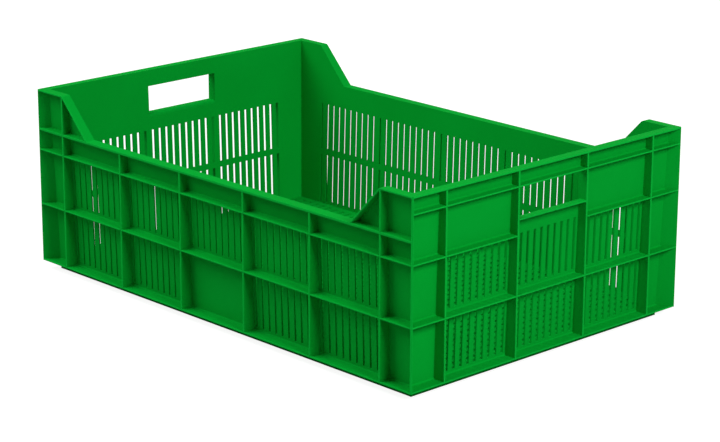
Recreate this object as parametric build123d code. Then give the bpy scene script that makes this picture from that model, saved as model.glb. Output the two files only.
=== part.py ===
from build123d import *

import math
import os

# Perforated produce crate: an open box of thin drafted walls, stiffened outside by bands and ribs.
# Millimetres. X runs along the long walls, Y along the ends, Z up, ground at Z = 0, origin mid-way.

# Overall size
length = 600.0
width = 400.0
height = 210.0
base_depth = 10.0

# Wall skin: it leans inwards towards the floor, so the space outside it is deeper at the bottom
skin = 1.6
recess_at_top = 9.2
recess_at_base = 14.2

# Horizontal members: thicknesses, then clear heights between them
band = 1.8
side_rim = 2.9
end_rim = 2.0
lower_row = 64.8
rim_drop = 44.0
rim_gap = 21.3
collar_gap = 15.2
handle_opening = 32.6

# Vertical members: thicknesses, then the bays between them
rib = 2.4
corner_web = 2.4
side_corner_bay = 45.2
end_corner_bay = 46.7
side_bays = 5
end_bays = 3

# Corner posts: a flat cap over the corner bay, then a straight slope down to the long wall's rim
cap = 2.0
slope_run = 42.0
cap_bend = 5.0

# Ventilation slots
slot_pitch = 10.0
side_slot = 2.5
end_slot = 3.7
slot_beside_rib = 2.0
slot_above_band = 3.6
slot_below_band = 1.1

# Hand-holds
sill_round = 4.0
sill_drop = 6.0

# Floor and stacking base
floor_layer = 2.0
floor_gap = 4.0
floor_bar = 8.0
floor_margin = 8.0
rail = 3.0
rail_setback = 0.8

# Small rounding of the moulded edges
edge_round = 0.6
cove = 1.5
cove_dip = 0.2

# Heights that follow, from the ground up and from the top down
base_flange_top = base_depth + band
lower_band_top = base_flange_top + lower_row + band
side_rim_top = height - rim_drop
side_rim_bottom = side_rim_top - side_rim
upper_band_top = side_rim_bottom - rim_gap
end_rim_bottom = height - end_rim
cap_bottom = height - cap
collar_top = end_rim_bottom - collar_gap
handle_top = collar_top - band
lip_top = handle_top - handle_opening
sill_bottom = lip_top - sill_drop

# Other values that follow
side_pitch = (length - 2 * side_corner_bay) / side_bays
end_pitch = (width - 2 * end_corner_bay) / end_bays
web_reach = corner_web / math.sqrt(2)
member_reach = 2 * recess_at_base
handle_half = (end_pitch - rib) / 2
rail_inset = recess_at_base + rail_setback
bend_at = length / 2 - side_corner_bay - rib / 2
slope_foot = bend_at - slope_run
slope_angle = math.atan2(rim_drop, slope_run)


def recess(z):
    """Depth of the skin's outer face behind the outside plane, at height z."""
    share = (z - base_depth) / (height - base_depth)
    return recess_at_base + (recess_at_top - recess_at_base) * share


def inner(z):
    """Depth of the skin's inner face behind the outside plane, at height z."""
    return recess(z) + skin


# Each wall is drawn in its own frame: X along the wall, Y inwards from the outside plane, Z up.


def along_wall(profile, start, end):
    """Solid with the profile (depth, height) running along the wall from start to end."""
    return extrude(Plane.YZ.offset(start) * profile, amount=end - start)


def through_wall(outline, depth=member_reach):
    """Solid with the outline (along, height) running inwards from the outside plane."""
    return extrude(Plane.XZ * outline, amount=-depth)


def polygon(*points):
    return make_face(Polyline(*points, close=True))


def mitred(solid, half, reach=0.0):
    """Keeps what lies between the two diagonal corner planes, less a reach left for the corner web.

    With no reach the pieces of two walls meet on the diagonal, and their common tip is cut off square to it.
    """
    deep = 3 * member_reach
    if reach:
        near = [(half - reach + 1, -1), (half - reach - deep, deep)]
    else:
        tip = web_reach / 2
        near = [(half - web_reach - 1, -1), (half - tip, tip), (half - deep, deep)]
    far = [(-x, y) for x, y in reversed(near)]
    plan = Plane.XY.offset(-height) * polygon(*near, *far)
    return solid & extrude(plan, amount=3 * height)


def behind(depth_at):
    """Everything deeper than the leaning plane whose depth at a height is depth_at(height)."""
    low, high = -height, 2 * height
    far = 10 * member_reach
    profile = polygon((depth_at(low), low), (depth_at(high), high), (far, high), (far, low))
    return along_wall(profile, -length, length)


def arc(start, centre, finish, radius):
    """Quarter arc from start to finish about the centre."""
    toward = (start[0] + finish[0] - 2 * centre[0], start[1] + finish[1] - 2 * centre[1])
    scale = radius / math.hypot(*toward)
    middle = (centre[0] + toward[0] * scale, centre[1] + toward[1] * scale)
    return ThreePointArc(start, middle, finish)


def rounded_front(bottom, top):
    """Outer end of a horizontal member, from its lower face round to its upper face."""
    r = edge_round
    lower = arc((r, bottom), (r, bottom + r), (0, bottom + r), r)
    front = Line((0, bottom + r), (0, top - r))
    upper = arc((0, top - r), (r, top - r), (r, top), r)
    return lower, front, upper


def band_profile(top, thickness=band):
    """Flange from the outside plane to the skin, with a small cove where its upper face meets the skin."""
    bottom = top - thickness
    root = (recess(bottom), bottom)
    cove_high = (recess(top + cove), top + cove)
    cove_low = (recess(top) - cove, top)
    front = rounded_front(bottom, top)
    back = Line(cove_low, (edge_round, top))
    dip = cove_dip * cove / math.sqrt(2)
    deepest = ((cove_low[0] + cove_high[0]) / 2 + dip, top + cove / 2 - dip)
    hollow = ThreePointArc(cove_low, deepest, cove_high)
    wall = Line(cove_high, root)
    under = Line(root, (edge_round, bottom))
    return make_face([*front, back, hollow, wall, under])


def rim_profile(top, thickness):
    """Rim that covers the top of the skin, from the outside plane to the inner face."""
    bottom = top - thickness
    front = rounded_front(bottom, top)
    upper = Line((edge_round, top), (inner(top), top))
    wall = Line((inner(top), top), (inner(bottom), bottom))
    under = Line((inner(bottom), bottom), (edge_round, bottom))
    return make_face([*front, upper, wall, under])


def skin_profile(bottom, top):
    return polygon(
        (recess(bottom), bottom),
        (recess(top), top),
        (inner(top), top),
        (inner(bottom), bottom),
    )


# Ventilation slots: two rows in each bay, between the bands


def slot_rows():
    lower = (base_flange_top + slot_above_band, lower_band_top - band - slot_below_band)
    upper = (lower_band_top + slot_above_band, upper_band_top - band - slot_below_band)
    return lower, upper


def spread(count, pitch):
    """Places of a row of things, evenly spaced about the middle."""
    return [(i - (count - 1) / 2) * pitch for i in range(count)]


def slots(bays, bay_pitch, slot_width, plain_bay=None):
    """Cutters for every slot of a wall. The plain bay, if any, has no slots in its lower row."""
    room = bay_pitch - rib - 2 * slot_beside_rib - slot_width
    in_bay = spread(int(room // slot_pitch) + 1, slot_pitch)
    faces = []
    for bay, centre in enumerate(spread(bays, bay_pitch)):
        for row, (low, high) in enumerate(slot_rows()):
            if row == 0 and bay == plain_bay:
                continue
            for x in in_bay:
                faces.append(Pos(centre + x, (low + high) / 2) * Rectangle(slot_width, high - low))
    return through_wall(Sketch() + faces, 2 * member_reach)


# Vertical ribs: one solid for each stretch between two horizontal members


def rib_stretch(x, bottom, top, below=None):
    """Rib at x from one member up to the next, shaped to the skin and to the member below."""
    plan = Rectangle(rib, member_reach, align=(Align.CENTER, Align.MIN))
    front = plan.vertices().group_by(Axis.Y)[0]
    plan = fillet(front, edge_round)
    bar = extrude(Plane.XY.offset(bottom) * Pos(x, 0) * plan, amount=top - bottom)
    bar = bar - behind(recess)
    return bar - below if below else bar


def member(profile, half, reach=0.0):
    return mitred(along_wall(profile, -half, half), half, reach)


def both_ends(solid):
    """The solid, drawn at the right-hand end of a wall, and its mirror image at the other end."""
    return solid, mirror(solid, about=Plane.YZ)


def long_wall():
    """The members of one long wall, by name."""
    half = length / 2
    wall = member(skin_profile(base_depth, side_rim_bottom), half)
    wall = wall - slots(side_bays, side_pitch, side_slot, plain_bay=side_bays // 2)
    base_flange = member(band_profile(base_flange_top), half, web_reach)
    lower_band = member(band_profile(lower_band_top), half, web_reach)
    upper_band = member(band_profile(upper_band_top), half, web_reach)
    rim = member(rim_profile(side_rim_top, side_rim), half)
    for post_end in both_ends(corner_web_solid()):
        rim = rim - post_end
    ribs = []
    rib_places = spread(side_bays + 1, side_pitch)
    for x in rib_places:
        ribs.append(rib_stretch(x, base_flange_top, lower_band_top - band, base_flange))
        ribs.append(rib_stretch(x, lower_band_top, upper_band_top - band, lower_band))
        ribs.append(rib_stretch(x, upper_band_top, side_rim_bottom, upper_band))
    ribs.extend(both_ends(rib_stretch(rib_places[-1], side_rim_top, cap_bottom, post_cap())))
    return {
        "wall": wall,
        "base_flange": base_flange,
        "lower_band": lower_band,
        "upper_band": upper_band,
        "rim": rim,
        "ribs": Compound(ribs),
        "base_rail": base_rail(half),
    }


def end_wall():
    """The members of one end wall, by name. The hand-hold fills the middle bay below the collar."""
    half = width / 2
    wall = member(skin_profile(base_depth, sill_bottom), half)
    wall = wall - slots(end_bays, end_pitch, end_slot)
    beside = member(skin_profile(sill_bottom, handle_top), half)
    beside = beside - Pos(0, 0, height / 2) * Box(2 * handle_half, 8 * member_reach, 2 * height)
    cheeks = beside.solids().sort_by(Axis.X)
    base_flange = member(band_profile(base_flange_top), half, web_reach)
    lower_band = member(band_profile(lower_band_top), half, web_reach)
    upper_band = member(band_profile(upper_band_top), half, web_reach)
    middle = Pos(0, 0, height / 2) * Box(end_pitch + rib, 8 * member_reach, 2 * height)
    collar = member(band_profile(collar_top), half, web_reach)
    ribs = []
    for x in spread(end_bays + 1, end_pitch):
        ribs.append(rib_stretch(x, base_flange_top, lower_band_top - band, base_flange))
        if abs(x) > end_pitch:
            ribs.append(rib_stretch(x, lower_band_top, upper_band_top - band, lower_band))
            ribs.append(rib_stretch(x, upper_band_top, handle_top, upper_band))
        else:
            ribs.append(rib_stretch(x, lower_band_top, handle_top, lower_band))
        ribs.append(rib_stretch(x, collar_top, end_rim_bottom, collar))
    return {
        "end_wall": wall,
        "first_cheek": cheeks[0],
        "second_cheek": cheeks[-1],
        "grip_panel": member(skin_profile(handle_top, end_rim_bottom), half),
        "base_flange": base_flange,
        "lower_band": lower_band,
        "upper_band": upper_band - middle,
        "collar": collar,
        "handle_lip": handle_lip(),
        "rim": member(rim_profile(height, end_rim), half),
        "ribs": Compound(ribs),
        "base_rail": base_rail(half),
    }


def handle_lip():
    """Sill of a hand-hold: the top of the wall below it, rounded inside, and a lip out to the outside plane."""
    bottom = lip_top - band
    front = rounded_front(bottom, lip_top)
    round_start = (inner(lip_top) - sill_round, lip_top)
    round_end = (inner(lip_top - sill_round), lip_top - sill_round)
    upper = Line((edge_round, lip_top), round_start)
    rounding = arc(round_start, (round_start[0], round_end[1]), round_end, sill_round)
    inside = Line(round_end, (inner(sill_bottom), sill_bottom))
    foot = Line((inner(sill_bottom), sill_bottom), (recess(sill_bottom), sill_bottom))
    outside = Line((recess(sill_bottom), sill_bottom), (recess(bottom), bottom))
    under = Line((recess(bottom), bottom), (edge_round, bottom))
    profile = make_face([*front, upper, rounding, inside, foot, outside, under])
    return along_wall(profile, -handle_half, handle_half)


def base_rail(half):
    """Rail of the stacking base under one wall."""
    r = edge_round
    lower_corner = arc((rail_inset, r), (rail_inset + r, r), (rail_inset + r, 0), r)
    sole = Line((rail_inset + r, 0), (rail_inset + rail, 0))
    inside = Line((rail_inset + rail, 0), (rail_inset + rail, base_depth))
    upper = Line((rail_inset + rail, base_depth), (rail_inset, base_depth))
    outside = Line((rail_inset, base_depth), (rail_inset, r))
    profile = make_face([lower_corner, sole, inside, upper, outside])
    return member(profile, half)


# Corner posts, drawn at the right-hand end of a long wall


def post_cap():
    """Strip over a corner post: flat over the corner bay, then down the slope to the rim."""
    under_bend = bend_at + cap * math.tan(slope_angle / 2)
    under_foot = slope_foot + cap / math.sin(slope_angle)
    half = length / 2
    outline = polygon(
        (half, height),
        (bend_at, height),
        (slope_foot, side_rim_top),
        (under_foot, side_rim_top),
        (under_bend, cap_bottom),
        (half, cap_bottom),
    )
    corners = outline.vertices().sort_by_distance((bend_at, height))
    outline = fillet(corners[0:1], cap_bend)
    corners = outline.vertices().sort_by_distance((under_bend, cap_bottom))
    outline = fillet(corners[0:1], cap_bend - cap)
    strip = through_wall(outline) - behind(inner)
    front = strip.edges().filter_by(lambda e: e.center().Y < 0.01 and e.center().Z > side_rim_top + 0.1)
    upper_front = [e for e in front if e.center().X < half - 0.1]
    strip = fillet(upper_front, edge_round)
    return mitred(strip, half)


def post_wall():
    """Skin of a corner post, standing on the rim under the cap."""
    under_bend = bend_at + cap * math.tan(slope_angle / 2)
    under_foot = slope_foot + cap / math.sin(slope_angle)
    half = length / 2
    outline = polygon(
        (under_foot, side_rim_top),
        (under_bend, cap_bottom),
        (half, cap_bottom),
        (half, side_rim_top),
    )
    plate = through_wall(outline) & member(skin_profile(side_rim_top, cap_bottom), half)
    return plate - post_cap()


def corner_web_solid():
    """Diagonal web from the outside corner to the corner of the skin, at the right-hand end of a long wall."""
    half = length / 2
    reach = 2 * member_reach
    plan = polygon(
        (half - web_reach, 0),
        (half, web_reach),
        (half - reach, reach + web_reach),
        (half - reach - web_reach, reach),
    )
    web = extrude(Plane.XY.offset(base_depth) * plan, amount=end_rim_bottom - base_depth)
    end_skin = Pos(half, 0, 0) * Rot(0, 0, 90) * behind(recess)
    return web - (behind(recess) & end_skin)


def floor_bars(bottom, crossways):
    """One layer of the floor: a plate slit into parallel bars, lengthways or crossways, in a plain margin."""
    half_x = length / 2 - inner(base_depth)
    half_y = width / 2 - inner(base_depth)
    open_x = 2 * (half_x - floor_margin)
    open_y = 2 * (half_y - floor_margin)
    pitch = floor_gap + floor_bar
    if crossways:
        gap = Rectangle(floor_gap, open_y)
        places = GridLocations(pitch, open_y, int((open_x + floor_bar) // pitch), 1)
    else:
        gap = Rectangle(open_x, floor_gap)
        places = GridLocations(open_x, pitch, 1, int((open_y + floor_bar) // pitch))
    gaps = [(place * gap).wire() for place in places]
    plate = Face(Rectangle(2 * half_x, 2 * half_y).wire(), gaps)
    return extrude(Plane.XY.offset(bottom) * plate, amount=floor_layer)


# Places of the walls and corners

wall_places = {
    "front": Pos(0, -width / 2, 0),
    "back": Pos(0, width / 2, 0) * Rot(0, 0, 180),
    "right": Pos(length / 2, 0, 0) * Rot(0, 0, 90),
    "left": Pos(-length / 2, 0, 0) * Rot(0, 0, -90),
}


def four_corners(solid):
    """The solid, drawn at the front right corner, and its three mirror images."""
    back = mirror(solid, about=Plane.XZ)
    return {
        "front_right": solid,
        "front_left": mirror(solid, about=Plane.YZ),
        "back_right": back,
        "back_left": mirror(back, about=Plane.YZ),
    }


def crate():
    """Every member of the crate, by node name."""
    nodes = {
        "floor_long_bars": floor_bars(base_depth, crossways=False),
        "floor_cross_bars": floor_bars(base_depth + floor_layer, crossways=True),
    }
    side = long_wall()
    end = end_wall()
    for place in ("front", "back"):
        for name, solid in side.items():
            nodes[f"{place}_{name}"] = wall_places[place] * solid
    cheek_places = {
        "right": {"first_cheek": "front_cheek", "second_cheek": "back_cheek"},
        "left": {"first_cheek": "back_cheek", "second_cheek": "front_cheek"},
    }
    for place, cheek_names in cheek_places.items():
        for name, solid in end.items():
            nodes[f"{place}_{cheek_names.get(name, name)}"] = wall_places[place] * solid
    at_front = wall_places["front"]
    for name, solid in (("web", corner_web_solid()), ("post", post_wall()), ("cap", post_cap())):
        for corner, piece in four_corners(at_front * solid).items():
            nodes[f"{corner}_{name}"] = piece
    return nodes


def main():
    os.makedirs("parts", exist_ok=True)
    for name, solid in crate().items():
        export_step(solid, f"parts/{name}.step")


main()
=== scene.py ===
import math

import bpy
from mathutils import Matrix, Vector


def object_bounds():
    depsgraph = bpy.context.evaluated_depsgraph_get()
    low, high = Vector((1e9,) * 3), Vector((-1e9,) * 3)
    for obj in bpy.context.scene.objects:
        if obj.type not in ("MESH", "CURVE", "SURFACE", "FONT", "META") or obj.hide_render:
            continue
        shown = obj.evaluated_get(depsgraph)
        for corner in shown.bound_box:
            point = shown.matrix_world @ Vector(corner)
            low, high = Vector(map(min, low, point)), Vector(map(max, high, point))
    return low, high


# Perforated produce crate in green plastic, on white. Metres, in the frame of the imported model.

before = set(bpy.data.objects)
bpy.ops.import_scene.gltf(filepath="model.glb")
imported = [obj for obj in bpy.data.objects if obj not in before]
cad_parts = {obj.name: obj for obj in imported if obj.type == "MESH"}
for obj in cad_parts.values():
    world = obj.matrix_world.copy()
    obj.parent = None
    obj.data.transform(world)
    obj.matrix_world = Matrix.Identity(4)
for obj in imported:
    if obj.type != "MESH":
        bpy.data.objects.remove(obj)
cad_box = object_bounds()
scene = bpy.context.scene
scene.view_settings.view_transform = "Standard"

# Camera: direction it looks from, and the place it aims at relative to the middle of the footprint
image_width = 720
view_azimuth = 46.54
view_elevation = 16.526
view_roll = 0.206
view_distance = 2.69
aim_height = 0.1
aim_right = 0.01105
aim_up = -0.0182
focal_pixels = 2443
sensor_width = 36.0
nearest_seen = 0.05
farthest_seen = 100.0

# Plastic
green = (0.001, 0.345, 0.029, 1)
deep_green = (0.001, 0.315, 0.025, 1)
# Painted highlight: a paler green on the outermost faces of ribs, bands and rims, reaching this far in
# from the outermost plane
painted_highlight_green = (0.003, 0.4, 0.038, 1)
painted_highlight_depth = 0.0008
specular_level = 0.02
specular_tint = (0.05, 1, 0.2, 1)
smoothest = 0.7
roughest = 0.82
cloud_scale = 9.0
cloud_detail = 4
clouds_from = 0.3
clouds_to = 0.7
grain_scale = 1400.0
grain_detail = 2
grain_depth = 0.00004

# Studio: lamp angles in degrees, as for the camera, lamp sizes in metres and power in watts
lamps = {
    "key": {"azimuth": 83.5, "elevation": 34, "size": 0.9, "power": 60.5},
    "fill": {"azimuth": -43, "elevation": 47, "size": 2.0, "power": 67},
    "back": {"azimuth": 184, "elevation": 12, "size": 0.9, "power": 36},
}
lamp_distance = 3.0
world_colour = (1, 1, 1, 1)
world_light = 0.16
full_white = 1.0
floor_half = 40.0
floor_colour = (0.45, 0.45, 0.45, 1)
shadow_colour = (0.25, 0.25, 0.25, 1)
white_near_crate = 0.9
white_from = 0.6
white_to = 1.6


def add_object(name, data):
    thing = bpy.data.objects.new(name, data)
    scene.collection.objects.link(thing)
    return thing


def compass(azimuth, elevation):
    """Direction in degrees: azimuth from the front (-Y) to the right (+X), elevation from the ground."""
    a = math.radians(azimuth)
    e = math.radians(elevation)
    return Vector((math.sin(a) * math.cos(e), -math.cos(a) * math.cos(e), math.sin(e)))


def make_camera():
    back = compass(view_azimuth, view_elevation)
    level = Vector((0, 0, 1)).cross(back).normalized()
    right = Matrix.Rotation(math.radians(view_roll), 3, back) @ level
    up = back.cross(right)
    aim = Vector((0, 0, aim_height)) + aim_right * right + aim_up * up
    data = bpy.data.cameras.new("photo_camera")
    data.sensor_fit = "HORIZONTAL"
    data.sensor_width = sensor_width
    data.lens = focal_pixels * sensor_width / image_width
    data.clip_start = nearest_seen
    data.clip_end = farthest_seen
    camera = add_object("photo_camera", data)
    turn = Matrix((right, up, back)).transposed().to_4x4()
    camera.matrix_world = Matrix.Translation(aim + view_distance * back) @ turn
    scene.camera = camera


def new_material(name):
    material = bpy.data.materials.new(name)
    material.use_nodes = True
    material.node_tree.nodes.clear()
    return material, material.node_tree.nodes, material.node_tree.links


def noise(nodes, links, scale, detail):
    """Noise fixed to the crate, from its own coordinates."""
    place = nodes.new("ShaderNodeTexCoord")
    texture = nodes.new("ShaderNodeTexNoise")
    texture.inputs["Scale"].default_value = scale
    texture.inputs["Detail"].default_value = detail
    links.new(place.outputs["Object"], texture.inputs["Vector"])
    return texture.outputs["Fac"]


def painted_highlight_outside(nodes, links, colour):
    """The colour, paler on the outermost faces of ribs, bands and rims: a painted highlight on their
    front faces.
    """
    place = nodes.new("ShaderNodeTexCoord")
    size = nodes.new("ShaderNodeVectorMath")
    size.operation = "ABSOLUTE"
    links.new(place.outputs["Object"], size.inputs[0])
    parts = nodes.new("ShaderNodeSeparateXYZ")
    links.new(size.outputs["Vector"], parts.inputs["Vector"])
    outermost = nodes.new("ShaderNodeMath")
    outermost.operation = "MAXIMUM"
    for side, axis in enumerate("XY"):
        limit = cad_box[1][side]
        near = nodes.new("ShaderNodeMapRange")
        near.inputs["From Min"].default_value = limit - painted_highlight_depth
        near.inputs["From Max"].default_value = limit
        links.new(parts.outputs[axis], near.inputs["Value"])
        links.new(near.outputs["Result"], outermost.inputs[side])
    mix = nodes.new("ShaderNodeMix")
    mix.data_type = "RGBA"
    links.new(outermost.outputs["Value"], mix.inputs["Factor"])
    links.new(colour, mix.inputs["A"])
    mix.inputs["B"].default_value = painted_highlight_green
    return mix.outputs["Result"]


def green_plastic():
    """Moulded plastic: a slightly cloudy green, satin, with a fine grain."""
    material, nodes, links = new_material("green_plastic")
    output = nodes.new("ShaderNodeOutputMaterial")
    shader = nodes.new("ShaderNodeBsdfPrincipled")
    shader.inputs["Specular IOR Level"].default_value = specular_level
    shader.inputs["Specular Tint"].default_value = specular_tint
    clouds = noise(nodes, links, cloud_scale, cloud_detail)
    colour = nodes.new("ShaderNodeValToRGB")
    colour.color_ramp.elements[0].position = clouds_from
    colour.color_ramp.elements[0].color = deep_green
    colour.color_ramp.elements[1].position = clouds_to
    colour.color_ramp.elements[1].color = green
    links.new(clouds, colour.inputs["Fac"])
    # Painted highlight: the outermost faces of ribs, bands and rims are made paler
    links.new(painted_highlight_outside(nodes, links, colour.outputs["Color"]), shader.inputs["Base Color"])
    gloss = nodes.new("ShaderNodeMapRange")
    gloss.inputs["To Min"].default_value = smoothest
    gloss.inputs["To Max"].default_value = roughest
    links.new(clouds, gloss.inputs["Value"])
    links.new(gloss.outputs["Result"], shader.inputs["Roughness"])
    bump = nodes.new("ShaderNodeBump")
    bump.inputs["Distance"].default_value = grain_depth
    links.new(noise(nodes, links, grain_scale, grain_detail), bump.inputs["Height"])
    links.new(bump.outputs["Normal"], shader.inputs["Normal"])
    links.new(shader.outputs["BSDF"], output.inputs["Surface"])
    return material


def paint_crate():
    plastic = green_plastic()
    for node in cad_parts.values():
        node.data.materials.clear()
        node.data.materials.append(plastic)


def seen_directly(nodes, links):
    """One for rays from the viewer, and for mirror and glass rays, and nought for light on the crate."""
    path = nodes.new("ShaderNodeLightPath")
    total = path.outputs["Is Camera Ray"]
    for other in ("Is Glossy Ray", "Is Transmission Ray"):
        larger = nodes.new("ShaderNodeMath")
        larger.operation = "MAXIMUM"
        links.new(total, larger.inputs[0])
        links.new(path.outputs[other], larger.inputs[1])
        total = larger.outputs["Value"]
    return total


def make_floor():
    """White ground that keeps a faint shadow close to the crate."""
    data = bpy.data.meshes.new("floor")
    h = floor_half
    data.from_pydata([(-h, -h, 0), (h, -h, 0), (h, h, 0), (-h, h, 0)], [], [(0, 1, 2, 3)])
    floor = add_object("floor", data)
    material, nodes, links = new_material("floor")
    output = nodes.new("ShaderNodeOutputMaterial")
    ground = nodes.new("ShaderNodeBsdfDiffuse")
    ground.inputs["Color"].default_value = floor_colour
    shaded = nodes.new("ShaderNodeBsdfDiffuse")
    shaded.inputs["Color"].default_value = shadow_colour
    position = nodes.new("ShaderNodeNewGeometry")
    away = nodes.new("ShaderNodeVectorMath")
    away.operation = "LENGTH"
    links.new(position.outputs["Position"], away.inputs[0])
    white = nodes.new("ShaderNodeMapRange")
    white.inputs["From Min"].default_value = white_from
    white.inputs["From Max"].default_value = white_to
    white.inputs["To Min"].default_value = white_near_crate
    white.inputs["To Max"].default_value = full_white
    links.new(away.outputs["Value"], white.inputs["Value"])
    glow = nodes.new("ShaderNodeEmission")
    links.new(white.outputs["Result"], glow.inputs["Strength"])
    seen = nodes.new("ShaderNodeAddShader")
    links.new(glow.outputs["Emission"], seen.inputs[0])
    links.new(shaded.outputs["BSDF"], seen.inputs[1])
    mix = nodes.new("ShaderNodeMixShader")
    links.new(seen_directly(nodes, links), mix.inputs["Fac"])
    links.new(ground.outputs["BSDF"], mix.inputs[1])
    links.new(seen.outputs["Shader"], mix.inputs[2])
    links.new(mix.outputs["Shader"], output.inputs["Surface"])
    data.materials.append(material)


def make_world():
    world = bpy.data.worlds.new("studio")
    scene.world = world
    world.use_nodes = True
    nodes = world.node_tree.nodes
    links = world.node_tree.links
    nodes.clear()
    output = nodes.new("ShaderNodeOutputWorld")
    background = nodes.new("ShaderNodeBackground")
    background.inputs["Color"].default_value = world_colour
    strength = nodes.new("ShaderNodeMapRange")
    strength.inputs["To Min"].default_value = world_light
    strength.inputs["To Max"].default_value = full_white
    links.new(seen_directly(nodes, links), strength.inputs["Value"])
    links.new(strength.outputs["Result"], background.inputs["Strength"])
    links.new(background.outputs["Background"], output.inputs["Surface"])


def make_lamp(name, azimuth, elevation, size, power):
    """Square lamp that faces the crate."""
    direction = compass(azimuth, elevation)
    data = bpy.data.lights.new(name, "AREA")
    data.shape = "SQUARE"
    data.size = size
    data.energy = power
    lamp = add_object(name, data)
    lamp.location = Vector((0, 0, aim_height)) + lamp_distance * direction
    lamp.rotation_mode = "QUATERNION"
    lamp.rotation_quaternion = (-direction).to_track_quat("-Z", "Y")
    lamp.visible_camera = False


make_camera()
paint_crate()
make_floor()
make_world()
for name, lamp in lamps.items():
    make_lamp(name, **lamp)
